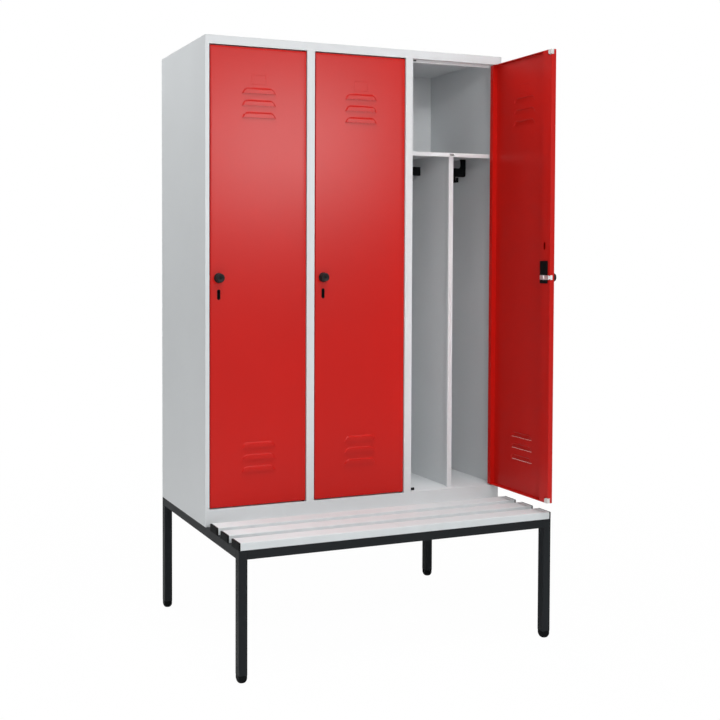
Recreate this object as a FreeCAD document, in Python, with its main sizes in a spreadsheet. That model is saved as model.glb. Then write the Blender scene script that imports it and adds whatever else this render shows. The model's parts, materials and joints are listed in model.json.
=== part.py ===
import FreeCAD, Part
import os
import Sketcher
from FreeCAD import Vector

# Clothes locker with three compartments on a bench frame.  Millimetres, +Z up,
# the front of the cabinet faces -Y.  Lengths are first written from the
# cabinet's front left corner on the floor (x to the right, y to the back) and
# then moved so that the origin is under the middle of the whole object.

doc = FreeCAD.newDocument("clothes_locker_with_bench")
sheet = doc.addObject("Spreadsheet::Sheet", "dims")

CELLS = [
    # whole cabinet
    ("cab_width", 1200), ("cab_depth", 500), ("cab_base", 430), ("cab_top", 2130),
    ("mid_width", 602.25), ("mid_depth", 75.5), ("pitch_x", 400), ("sheet_gauge", 1),
    # front frame
    ("stile_width", 15), ("mullion_width", 30), ("jamb_depth", 23.5),
    ("header_low", 2100), ("floor_top", 490),
    # keeper slots for the bolts
    ("keeper_low", 1284), ("keeper_tall", 22), ("keeper_front", 7.5), ("keeper_deep", 13),
    # top stops and rubber pads
    ("stop_drop", 10), ("stop_short", 22), ("pad_out", 29), ("pad_in", 6), ("pad_deep", 3.5), ("pad_tall", 10),
    ("pad_short", 27), ("pad_thin", 5),
    # shelf, divider, coat rail
    ("shelf_top", 1761), ("shelf_fold", 15), ("shelf_front", 25),
    ("slot_wide", 20), ("slot_tall", 5), ("slot_low", 1751),
    ("divider_front", 30), ("divider_fold", 19), ("divider_fold_deep", 14),
    ("rail_mid_y", 236), ("rail_low", 1690), ("rail_high", 1724), ("rail_thick", 12),
    ("hanger_wide", 17), ("hanger_inset", 60), ("hanger_flare", 6), ("rail_gap", 3), ("rail_short", 12),
    ("rail_round", 12), ("rail_corner", 7),
    ("hook_low", 1666), ("hook_wide", 9), ("hook_reach", 26), ("hook_wall", 6),
    # doors, measured from the pivot axis
    ("pivot_from_edge", 9.5), ("pivot_y", 8.5), ("door_front", 7), ("door_hinge_x", 7), ("door_free_x", 356.5),
    ("door_thick", 20), ("door_low", 494), ("door_high", 2096), ("door_bend", 2),
    ("door_mid_x", 175.5),
    ("lock_band", 47), ("hinge_band", 17),
    ("louver_wide", 127), ("louver_tall", 18), ("louver_out", 5), ("louver_pitch", 42),
    ("louver_upper", 1853), ("louver_lower", 613), ("louver_wall", 1.2), ("louver_flat", 12), ("louver_end", 10),
    ("tag_wide", 55), ("tag_tall", 35), ("tag_low", 1969), ("tag_line", 1.6), ("tag_out", 0.5),
    # hinge pins and bushes
    ("pin_radius", 4), ("pin_head", 6), ("pin_head_tall", 2), ("pin_reach", 17),
    ("bush_radius", 5.5), ("bush_flange", 6.5), ("bush_flange_tall", 3.5), ("bush_long", 10),
    ("running_gap", 0.05),
    # rotary latch
    ("lock_in", 31), ("lock_z", 1295), ("knob_radius", 17.5), ("knob_out", 22),
    ("spindle_radius", 5), ("case_wide", 40), ("case_up", 59), ("case_down", 21),
    ("case_thick", 4), ("lever_long", 32), ("lever_end", 3.5), ("lever_tail", 15), ("lever_tall", 16), ("lever_thick", 3),
    ("lever_gap", 0.3), ("bolt_tall", 17), ("bolt_thick", 10), ("bolt_y", 1.5),
    ("bolt_out", 1), ("bolt_long", 43), ("bolt_gap", 0.3),
    ("slit_wide", 11), ("slit_tall", 35), ("slit_mid_z", 1237),
    ("oblong_wide", 9), ("oblong_tall", 25), ("oblong_mid_z", 1407),
    ("buffer_wide", 18), ("buffer_deep", 10), ("buffer_proud", 1.3),
    ("open_angle", 90),
    # bench frame
    ("tube", 30), ("tube_wall", 2), ("bench_front", 318), ("foot_tall", 25),
    ("foot_round", 9), ("foot_spigot", 14), ("foot_slack", 0.2),
    # slats
    ("slat_wide", 66), ("slat_tall", 25), ("slat_step", 102), ("slat_wall", 3),
    ("slat_round", 2.5), ("slat_under", 1.5), ("cap_thick", 6), ("cap_plug", 12),
    # fasteners
    ("strip_wide", 29), ("strip_tall", 2), ("bolt_radius", 4), ("bolt_hole", 4.3),
    ("bolt_head", 7.5), ("bolt_head_tall", 5.5), ("bolt_shank", 24),
    ("screw_radius", 2.4), ("screw_hole", 2.8), ("screw_head", 5.5), ("screw_head_tall", 3),
]

VALUES = {}
for row, (alias, number) in enumerate(CELLS, 1):
    sheet.set("A%d" % row, alias)
    sheet.set("B%d" % row, "%g" % number)
    sheet.setAlias("B%d" % row, alias)
    VALUES[alias] = float(number)
doc.recompute()


class Size:
    """A length together with the sheet formula that gives it."""

    def __init__(self, value, text):
        self.value = float(value)
        self.text = text

    def __add__(self, other):
        other = size(other)
        return Size(self.value + other.value, "(%s + %s)" % (self.text, other.text))

    __radd__ = __add__

    def __sub__(self, other):
        other = size(other)
        return Size(self.value - other.value, "(%s - %s)" % (self.text, other.text))

    def __rsub__(self, other):
        return size(other) - self

    def __mul__(self, factor):
        return Size(self.value * factor, "(%s * %g)" % (self.text, factor))

    __rmul__ = __mul__

    def __truediv__(self, factor):
        return Size(self.value / factor, "(%s / %g)" % (self.text, factor))

    def __neg__(self):
        return Size(-self.value, "(0 - %s)" % self.text)


def size(value):
    if isinstance(value, Size):
        return value
    if value < 0:
        return Size(value, "(0 - %.6g)" % -value)
    return Size(value, "%.6g" % value)


def c(alias):
    return Size(VALUES[alias], "dims." + alias)


def bind(thing, prop, value):
    thing.setExpression(prop, size(value).text)


def move(thing, x, y, z):
    bind(thing, "Placement.Base.x", x)
    bind(thing, "Placement.Base.y", y)
    bind(thing, "Placement.Base.z", z)
    return thing


def room(x, y, z):
    """From the cabinet's front left corner to the object's own frame."""
    return size(x) - c("mid_width"), size(y) - c("mid_depth"), size(z)


# ---------------------------------------------------------------- plain solids
def box(name, low, high):
    """A box between two corners."""
    b = doc.addObject("Part::Box", name)
    for prop, a, e in zip(("Length", "Width", "Height"), low, high):
        bind(b, prop, size(e) - a)
    return move(b, *low)


def room_box(name, low, high):
    return box(name, room(*low), room(*high))


def cylinder(name, at, radius, length, axis="z"):
    """A cylinder from a point along +z, +x or +y."""
    o = doc.addObject("Part::Cylinder", name)
    bind(o, "Radius", radius)
    bind(o, "Height", length)
    if axis == "x":
        o.Placement.Rotation = FreeCAD.Rotation(Vector(0, 1, 0), 90)
    elif axis == "y":
        o.Placement.Rotation = FreeCAD.Rotation(Vector(1, 0, 0), -90)
    return move(o, *at)


def cut(name, base, tools):
    if len(tools) > 1:
        tool = doc.addObject("Part::MultiFuse", name + "_tools")
        tool.Shapes = tools
    else:
        tool = tools[0]
    o = doc.addObject("Part::Cut", name)
    o.Base, o.Tool = base, tool
    return o


def fuse(name, parts):
    o = doc.addObject("Part::MultiFuse", name)
    o.Shapes = parts
    return o


def group(name, parts):
    o = doc.addObject("Part::Compound", name)
    o.Links = parts
    return o


def rounded(name, base, radius, wanted):
    """Rounds the edges of base that wanted(edge) picks."""
    doc.recompute()
    picked = [n for n, e in enumerate(base.Shape.Edges, 1) if wanted(e)]
    if not picked:
        raise RuntimeError("no edges to round on " + name)
    o = doc.addObject("Part::Fillet", name)
    o.Base = base
    o.Edges = [(n, size(radius).value, size(radius).value) for n in picked]
    return o


# ---------------------------------------------------------------- sketched solids
def origin_plane(body, role):
    return next(f for f in body.Origin.OriginFeatures if f.Role == role)


def polygon(body, role, points, lift=None):
    """A closed sketch; each corner is tied to the sheet in both directions."""
    sketch = body.newObject("Sketcher::SketchObject", body.Name + "_sketch")
    sketch.AttachmentSupport = [(origin_plane(body, role), "")]
    sketch.MapMode = "FlatFace"
    if lift is not None:
        bind(sketch, "AttachmentOffset.Base.z", lift)
    corners = [(size(a), size(b)) for a, b in points]
    n = len(corners)
    for i in range(n):
        a, b = corners[i], corners[(i + 1) % n]
        sketch.addGeometry(
            Part.LineSegment(Vector(a[0].value, a[1].value, 0), Vector(b[0].value, b[1].value, 0)), False
        )
    for i in range(n):
        sketch.addConstraint(Sketcher.Constraint("Coincident", i, 2, (i + 1) % n, 1))
    for i, (a, b) in enumerate(corners):
        for kind, value, line in (("DistanceX", a, -2), ("DistanceY", b, -1)):
            if abs(value.value) < 1e-9:
                sketch.addConstraint(Sketcher.Constraint("PointOnObject", i, 1, line))
            else:
                k = sketch.addConstraint(Sketcher.Constraint(kind, -1, 1, i, 1, value.value))
                sketch.setExpression("Constraints[%d]" % k, value.text)
    return sketch


def new_body(name):
    return doc.addObject("PartDesign::Body", name)


def pad(body, sketch, length):
    p = body.newObject("PartDesign::Pad", body.Name + "_pad")
    p.Profile = sketch
    bind(p, "Length", length)
    return p


def pocket(body, sketch, length, backwards=False):
    """Cuts the sketch out of the body, and makes sure that it cut something."""
    doc.recompute()
    before = body.Shape.Volume
    p = body.newObject("PartDesign::Pocket", body.Name + "_pocket")
    p.Profile = sketch
    bind(p, "Length", length)
    p.Reversed = backwards
    doc.recompute()
    if not body.Shape.Volume < before - 1e-3:
        raise RuntimeError("pocket cut nothing on " + body.Name)
    return p


def body_fillet(body, feature, radius, wanted):
    doc.recompute()
    names = ["Edge%d" % n for n, e in enumerate(feature.Shape.Edges, 1) if wanted(e)]
    if not names:
        raise RuntimeError("no edges to round on " + body.Name)
    f = body.newObject("PartDesign::Fillet", body.Name + "_fillet")
    f.Base = (feature, names)
    bind(f, "Radius", radius)
    doc.recompute()
    return f


def middle(edge):
    return edge.valueAt((edge.FirstParameter + edge.LastParameter) / 2)


def along(edge, axis):
    """Is this a straight edge along the axis (0, 1 or 2)?"""
    if len(edge.Vertexes) != 2:
        return False
    d = edge.Vertexes[1].Point - edge.Vertexes[0].Point
    return abs(d[axis]) > 1e-6 and all(abs(d[i]) < 1e-6 for i in range(3) if i != axis)


PIECES = []


def piece(node, thing):
    thing.Label = node
    PIECES.append((node, thing))
    return thing


G = c("sheet_gauge")
W, D = c("cab_width"), c("cab_depth")
BASE, TOP = c("cab_base"), c("cab_top")
LOW, HEAD = c("floor_top"), c("header_low")
JAMB = c("jamb_depth")
PITCH = c("pitch_x")

# ---------------------------------------------------------------- cabinet shell
piece("top_panel", room_box("top_panel", (0, 0, TOP - G), (W, D, TOP)))
piece("left_side_panel", room_box("left_side_panel", (0, 0, BASE), (G, D, TOP - G)))
piece("right_side_panel", room_box("right_side_panel", (W - G, 0, BASE), (W, D, TOP - G)))
piece("back_panel", room_box("back_panel", (G, D - G, BASE), (W - G, D, TOP - G)))

# places of the three openings and the pivot axes, from left to right
OPEN_LOW = [c("stile_width") + PITCH * n for n in range(3)]
OPEN_HIGH = [PITCH * (n + 1) - c("stile_width") for n in range(3)]
PIVOT = [edge - c("pivot_from_edge") for edge in OPEN_HIGH]
PIVOT_Y = c("pivot_y")
PIN_HOLE = c("pin_radius") + 0.1

# the floor carries the lower hinge pins
floor_sheet = room_box("floor_sheet", (G, G, LOW - G), (W - G, D - G, LOW))
floor_holes = [
    cylinder("floor_hole", room(x, PIVOT_Y, LOW - G * 2), PIN_HOLE, G * 3) for x in PIVOT
]
piece("floor_panel", cut("floor_panel", floor_sheet, floor_holes))

# the header is folded back under itself and carries the upper hinge pins
header = new_body("header_profile")
pad(
    header,
    polygon(
        header,
        "YZ_Plane",
        [(0, 0), (JAMB, 0), (JAMB, G), (G, G), (G, TOP - G - HEAD), (0, TOP - G - HEAD)],
    ),
    W - G * 2,
)
move(header, *room(G, 0, HEAD))
header_holes = [
    cylinder("header_hole", room(x, PIVOT_Y, HEAD - G), PIN_HOLE, G * 3) for x in PIVOT
]
piece("header_rail", cut("header_rail", header, header_holes))

plinth = new_body("plinth")
pad(
    plinth,
    polygon(
        plinth,
        "YZ_Plane",
        [(0, 0), (c("tube"), 0), (c("tube"), G), (G, G), (G, LOW - BASE), (0, LOW - BASE)],
    ),
    W - G * 2,
)
piece("plinth", move(plinth, *room(G, 0, BASE)))

KEEPER_LOW = c("keeper_low")
KEEPER_HIGH = KEEPER_LOW + c("keeper_tall")
KEEPER_FRONT = c("keeper_front")
KEEPER_BACK = KEEPER_FRONT + c("keeper_deep")


def keeper(edge):
    """The slot that the bolt enters, in the wall that ends at edge."""
    return room_box(
        "keeper_slot",
        (edge - G * 2, KEEPER_FRONT, KEEPER_LOW),
        (edge + G, KEEPER_BACK, KEEPER_HIGH),
    )


# side stiles: folded channels inside the side panels
inner = c("stile_width") - G
left_stile = new_body("left_stile_profile")
pad(
    left_stile,
    polygon(
        left_stile,
        "XY_Plane",
        [(0, 0), (inner, 0), (inner, JAMB), (0, JAMB), (0, JAMB - G), (inner - G, JAMB - G), (inner - G, G), (0, G)],
    ),
    HEAD - LOW,
)
move(left_stile, *room(G, 0, LOW))
piece("left_stile", cut("left_stile", left_stile, [keeper(OPEN_LOW[0])]))

right_stile = new_body("right_stile")
pad(
    right_stile,
    polygon(
        right_stile,
        "XY_Plane",
        [(0, 0), (inner, 0), (inner, G), (G, G), (G, JAMB - G), (inner, JAMB - G), (inner, JAMB), (0, JAMB)],
    ),
    HEAD - LOW,
)
piece("right_stile", move(right_stile, *room(OPEN_HIGH[2], 0, LOW)))

# mullions: closed box posts, with a partition sheet behind each
for side, n in (("left", 0), ("right", 1)):
    a, e = OPEN_HIGH[n], OPEN_LOW[n + 1]
    post = room_box(side + "_post", (a, 0, LOW), (e, JAMB, HEAD))
    hollow = room_box(side + "_hollow", (a + G, G, LOW - G), (e - G, JAMB - G, HEAD + G))
    piece(side + "_mullion", cut(side + "_mullion", post, [hollow, keeper(e)]))
    mid = PITCH * (n + 1)
    piece(
        side + "_partition",
        room_box(side + "_partition", (mid - G / 2, JAMB, LOW), (mid + G / 2, D - G, TOP - G)),
    )

# stop strips behind the header, one over each opening, notched for the upper rubber pads
stops, pads = [], []
for n in range(3):
    a, e = OPEN_LOW[n], OPEN_HIGH[n]
    strip = room_box("stop_strip", (a, JAMB, HEAD - c("stop_drop")), (e - c("stop_short"), JAMB + G, HEAD + G))
    notch = room_box(
        "stop_notch", (a - G, JAMB - G, HEAD - c("pad_thin")), (a + c("pad_short"), JAMB + G * 2, HEAD + G * 2)
    )
    stops.append(cut("stop", strip, [notch]))
    for low, out, tall in (
        (LOW, c("pad_out"), c("pad_tall")),
        (HEAD - c("pad_thin"), c("pad_short"), c("pad_thin")),
    ):
        pads.append(
            room_box("pad", (a - c("pad_in"), JAMB, low), (a + out, JAMB + c("pad_deep"), low + tall))
        )
piece("door_stops", group("door_stops", stops))
piece("door_pads", group("door_pads", pads))

# ---------------------------------------------------------------- inside of the compartments
ROOM_LOW = [G, PITCH + G / 2, PITCH * 2 + G / 2]
ROOM_HIGH = [PITCH - G / 2, PITCH * 2 - G / 2, W - G]
SHELF = c("shelf_top")
FOLD = c("shelf_fold")
rails = []
for n in range(3):
    a, e = ROOM_LOW[n], ROOM_HIGH[n]
    mid = PITCH * n + PITCH / 2
    front = c("shelf_front")
    # hat shelf: a tray with its folds turned down
    block = room_box("shelf_block", (a, front, SHELF - FOLD), (e, D - G, SHELF))
    under = room_box(
        "shelf_under", (a + G, front + G, SHELF - FOLD - G), (e - G, D - G * 2, SHELF - G)
    )
    slot = room_box(
        "shelf_slot",
        (mid - c("slot_wide") / 2, front - G, c("slot_low")),
        (mid + c("slot_wide") / 2, front + G * 2, c("slot_low") + c("slot_tall")),
    )
    piece("hat_shelf_%d" % (n + 1), cut("hat_shelf", block, [under, slot]))

    # centre divider: a sheet with a boxed front edge
    y0 = c("divider_front")
    half = c("divider_fold") / 2
    deep = c("divider_fold_deep")
    edge_block = room_box("edge_block", (mid - half, y0, LOW), (mid + half, y0 + deep, SHELF - FOLD - 0.5))
    edge_hollow = room_box(
        "edge_hollow", (mid - half + G, y0 + G, LOW - G), (mid + half - G, y0 + deep - G, SHELF - FOLD - G * 2)
    )
    edge = cut("divider_edge", edge_block, [edge_hollow])
    leaf = room_box("divider_leaf", (mid - G / 2, y0 + deep, LOW), (mid + G / 2, D - G * 2, SHELF - G))
    piece("divider_%d" % (n + 1), fuse("divider", [edge, leaf]))

    # coat rails: a moulded bar with two hooks, hung from the shelf at its outer end
    # and a little way in from its bare end beside the divider
    for left, right, bare in ((a, mid - G / 2, "right"), (mid + G / 2, e, "left")):
        x0 = left + c("rail_gap" if bare == "right" else "rail_short")
        span = right - c("rail_short" if bare == "right" else "rail_gap") - x0
        tall = SHELF - G - c("rail_low")
        bar = c("rail_high") - c("rail_low")
        wide = c("hanger_wide")
        thick = c("rail_thick")
        y_back = c("rail_mid_y") + thick / 2
        inset = c("hanger_inset")
        flare = c("hanger_flare")
        outline = [
            (size(0), 0),
            (span, 0),
            (span, tall),
            (span - wide - flare, tall),
            (span - wide, tall - flare),
            (span - wide, bar),
            (inset + wide, bar),
            (inset + wide, tall - flare),
            (inset + wide + flare, tall),
            (inset - flare, tall),
            (inset, tall - flare),
            (inset, bar),
            (size(0), bar),
        ]
        if bare == "right":
            outline = [(span - x, z) for x, z in outline]
        end = 0 if bare == "left" else span.value
        rail = new_body("rail_bar")
        feature = pad(rail, polygon(rail, "XZ_Plane", outline), thick)
        feature = body_fillet(
            rail,
            feature,
            c("rail_round"),
            lambda e_: along(e_, 1) and abs(middle(e_).z - bar.value) < 1e-6 and abs(middle(e_).x - end) > 1,
        )
        body_fillet(
            rail,
            feature,
            c("rail_corner"),
            lambda e_: along(e_, 1) and abs(middle(e_).z) < 1e-6 and abs(middle(e_).x - end) > 1,
        )
        move(rail, *room(x0, y_back, c("rail_low")))
        hooks = []
        for place in (span * 0.26, span * 0.74):
            hook = new_body("rail_hook")
            drop = c("rail_low") - c("hook_low")
            reach = c("hook_reach")
            wall = c("hook_wall")
            # a J in side view: down behind the bar, forward, and up again
            pad(
                hook,
                polygon(
                    hook,
                    "YZ_Plane",
                    [(0, 0), (reach, 0), (reach, drop), (reach - wall, drop), (reach - wall, wall), (wall, wall), (wall, drop * 0.8), (0, drop * 0.8)],
                ),
                c("hook_wide"),
            )
            move(hook, *room(x0 + place - c("hook_wide") / 2, y_back - 2 - reach, c("hook_low")))
            hooks.append(hook)
        rails.append(fuse("coat_rail", [rail] + hooks))
piece("coat_rails", group("coat_rails", rails))

# ---------------------------------------------------------------- hinge pins
pins = []
for x in PIVOT:
    head = cylinder("pin_head", room(x, PIVOT_Y, HEAD + G), c("pin_head"), c("pin_head_tall"))
    shank = cylinder(
        "pin_shank", room(x, PIVOT_Y, HEAD + G - c("pin_reach")), c("pin_radius"), c("pin_reach")
    )
    pins.append(fuse("upper_pin", [head, shank]))
    head = cylinder(
        "pin_head", room(x, PIVOT_Y, LOW - G - c("pin_head_tall")), c("pin_head"), c("pin_head_tall")
    )
    shank = cylinder("pin_shank", room(x, PIVOT_Y, LOW - G), c("pin_radius"), c("pin_reach"))
    pins.append(fuse("lower_pin", [head, shank]))
piece("hinge_pins", group("hinge_pins", pins))

# ---------------------------------------------------------------- bench frame
T = c("tube")
TW = c("tube_wall")
FRONT = -c("bench_front")
FOOT = c("foot_tall")
SIDE_Y = [D / 5, D - D / 5]
SCREW_Y = [FRONT + 50, FRONT + c("slat_step") + 50, FRONT + c("slat_step") * 2 + 50]

legs, feet = [], []
for name, x, y in (
    ("front_left_leg", size(0), FRONT),
    ("front_right_leg", W - T, FRONT),
    ("rear_left_leg", size(0), D - T),
    ("rear_right_leg", W - T, D - T),
):
    outside = room_box(name + "_out", (x, y, FOOT), (x + T, y + T, BASE))
    inside = room_box(name + "_in", (x + TW, y + TW, FOOT - G), (x + T - TW, y + T - TW, BASE - TW))
    legs.append(cut(name, outside, [inside]))
    # foot cap: rounded below, with a spigot in the tube
    foot = new_body("foot_cap")
    block = pad(foot, polygon(foot, "XY_Plane", [(0, 0), (T, 0), (T, T), (0, T)]), FOOT)
    last = body_fillet(foot, block, c("foot_round"), lambda e_: abs(middle(e_).z) < 1e-6)
    s0 = TW + c("foot_slack")
    s1 = T - TW - c("foot_slack")
    pad(foot, polygon(foot, "XY_Plane", [(s0, s0), (s1, s0), (s1, s1), (s0, s1)], FOOT), c("foot_spigot"))
    feet.append(move(foot, *room(x, y, 0)))
piece("legs", group("legs", legs))
piece("foot_caps", group("foot_caps", feet))


def tube_along_x(name, y):
    outside = room_box(name + "_out", (T, y, BASE - T), (W - T, y + T, BASE))
    inside = room_box(name + "_in", (T - G, y + TW, BASE - T + TW), (W - T + G, y + T - TW, BASE - TW))
    return piece(name, cut(name, outside, [inside]))


tube_along_x("front_rail", FRONT)
tube_along_x("middle_rail", size(0))
tube_along_x("rear_rail", D - T)

side_rails, strips, bolts, screws = [], [], [], []
for name, x in (("left_rail", size(0)), ("right_rail", W - T)):
    mid_x = x + T / 2
    outside = room_box(name + "_out", (x, FRONT + T, BASE - T), (x + T, D - T, BASE))
    tools = [
        room_box(name + "_in", (x + TW, FRONT + T - G, BASE - T + TW), (x + T - TW, D - T + G, BASE - TW))
    ]
    for y in SCREW_Y:
        tools.append(cylinder("screw_way", room(mid_x, y, BASE - T - G), c("screw_hole"), T + G * 2))
    for y in SIDE_Y:
        tools.append(cylinder("bolt_way", room(mid_x, y, BASE - TW - G), c("bolt_hole"), TW + G * 2))
    side_rails.append(cut(name, outside, tools))

    # fixing strip along the foot of the side panel, bolted down to the rail
    low = G if name == "left_rail" else W - G - c("strip_wide")
    strip = room_box("strip", (low, T, BASE), (low + c("strip_wide"), D - G, BASE + c("strip_tall")))
    ways = [cylinder("strip_way", room(mid_x, y, BASE - G), c("bolt_hole"), c("strip_tall") + G * 2) for y in SIDE_Y]
    strips.append(cut("fixing_strip", strip, ways))
    for y in SIDE_Y:
        head = doc.addObject("Part::Prism", "bolt_head")
        head.Polygon = 6
        bind(head, "Circumradius", c("bolt_head"))
        bind(head, "Height", c("bolt_head_tall"))
        move(head, *room(mid_x, y, BASE + c("strip_tall")))
        shank = cylinder(
            "bolt_shank",
            room(mid_x, y, BASE + c("strip_tall") - c("bolt_shank")),
            c("bolt_radius"),
            c("bolt_shank"),
        )
        bolts.append(fuse("cabinet_bolt", [head, shank]))
    for y in SCREW_Y:
        head = cylinder(
            "screw_head", room(mid_x, y, BASE - T - c("screw_head_tall")), c("screw_head"), c("screw_head_tall")
        )
        shank = cylinder("screw_shank", room(mid_x, y, BASE - T), c("screw_radius"), T + 7)
        screws.append(fuse("slat_screw", [head, shank]))
piece("side_rails", group("side_rails", side_rails))
piece("fixing_strips", group("fixing_strips", strips))
piece("cabinet_bolts", group("cabinet_bolts", bolts))
piece("slat_screws", group("slat_screws", screws))

# ---------------------------------------------------------------- bench slats
SW, SH = c("slat_wide"), c("slat_tall")
WALL = c("slat_wall")
CAP = c("cap_thick")
RIB = WALL / 2


def slat_outline(body, length):
    """The slat's outside: soft upper edges and a small radius below."""
    feature = pad(body, polygon(body, "YZ_Plane", [(0, 0), (SW, 0), (SW, SH), (0, SH)]), length)
    feature = body_fillet(
        body, feature, c("slat_round"), lambda e_: along(e_, 0) and abs(middle(e_).z - SH.value) < 1e-6
    )
    return body_fillet(
        body, feature, c("slat_under"), lambda e_: along(e_, 0) and abs(middle(e_).z) < 1e-6
    )


caps = []
for n, name in enumerate(("front_slat", "middle_slat", "rear_slat")):
    y = FRONT + c("slat_step") * n
    slat = new_body(name + "_profile")
    slat_outline(slat, W - CAP * 2)
    # two chambers with a rib between them
    for p, q in ((WALL, SW / 2 - RIB), (SW / 2 + RIB, SW - WALL)):
        pocket(
            slat,
            polygon(slat, "YZ_Plane", [(p, WALL), (q, WALL), (q, SH - WALL), (p, SH - WALL)]),
            W,
            backwards=True,
        )
    move(slat, *room(CAP, y, BASE))
    ways = [
        cylinder("slat_way", room(x, SCREW_Y[n], BASE - G), c("screw_hole"), WALL + G * 2)
        for x in (T / 2, W - T / 2)
    ]
    piece(name, cut(name, slat, ways))
    for x, plug_x in ((size(0), CAP), (W - CAP, -c("cap_plug"))):
        cap = new_body("slat_cap")
        slat_outline(cap, CAP)
        move(cap, *room(x, y, BASE))
        parts = [cap]
        # plugs that hold the cap in the slat's chambers
        for p, q in ((WALL, SW / 2 - RIB), (SW / 2 + RIB, SW - WALL)):
            parts.append(
                room_box(
                    "cap_plug",
                    (x + plug_x, y + p + 0.3, BASE + SH - WALL - 9),
                    (x + plug_x + c("cap_plug"), y + q - 0.3, BASE + SH - WALL - 0.3),
                )
            )
        caps.append(fuse("slat_end_cap", parts))
piece("slat_end_caps", group("slat_end_caps", caps))

# ---------------------------------------------------------------- doors
# Each door is drawn closed, from its pivot axis: x to the hinge edge, y to the
# back, z from the floor.  Then it is set on its pivot and turned.
FREE = -c("door_free_x")
HINGE = c("door_hinge_x")
OUT = -c("door_front")
BACK = c("door_thick") - c("door_front")
DLOW, DHIGH = c("door_low"), c("door_high")
MIDX = -c("door_mid_x")
LOCK_X = FREE + c("lock_in")
LOCK_Z = c("lock_z")
SPINDLE = c("spindle_radius")
RUN = SPINDLE + c("running_gap")
BUF = c("buffer_wide")
BUF_Y = BACK - c("buffer_deep")
BOLT_Y = c("bolt_y")


def wedge(name, z, wall):
    """One pressed hood, or with a wall thickness the hollow inside it."""
    o = doc.addObject("Part::Wedge", name)
    half = c("louver_wide") / 2
    out, tall = c("louver_out"), c("louver_tall")
    if wall:
        t = c("louver_wall")
        face, root, low = OUT - out + t, OUT + G * 2, z - 1.2
        narrow, wide_ = half - c("louver_end") - 1.5, half - t
        top_face, top_root = z + c("louver_flat") - 1.5, z + tall - t
    else:
        face, root, low = OUT - out, OUT, z
        narrow, wide_ = half - c("louver_end"), half
        top_face, top_root = z + c("louver_flat"), z + tall
    for prop, value in (
        ("Xmin", MIDX - narrow), ("Xmax", MIDX + narrow), ("Ymin", face), ("Ymax", root),
        ("Zmin", low), ("Zmax", top_face), ("X2min", MIDX - wide_), ("X2max", MIDX + wide_),
        ("Z2min", low), ("Z2max", top_root),
    ):
        bind(o, prop, value)
    return o


def slanted_corner(edge):
    """The two edges that run from the hood's upper corners down to its face."""
    if len(edge.Vertexes) != 2:
        return False
    d = edge.Vertexes[1].Point - edge.Vertexes[0].Point
    return all(abs(d[i]) > 0.2 for i in range(3))


def set_on_pivot(thing, n, angle):
    x, y, _ = room(PIVOT[n], PIVOT_Y, 0)
    move(thing, x, y, 0)
    bind(thing, "Placement.Rotation.Angle", angle)
    return thing


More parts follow.
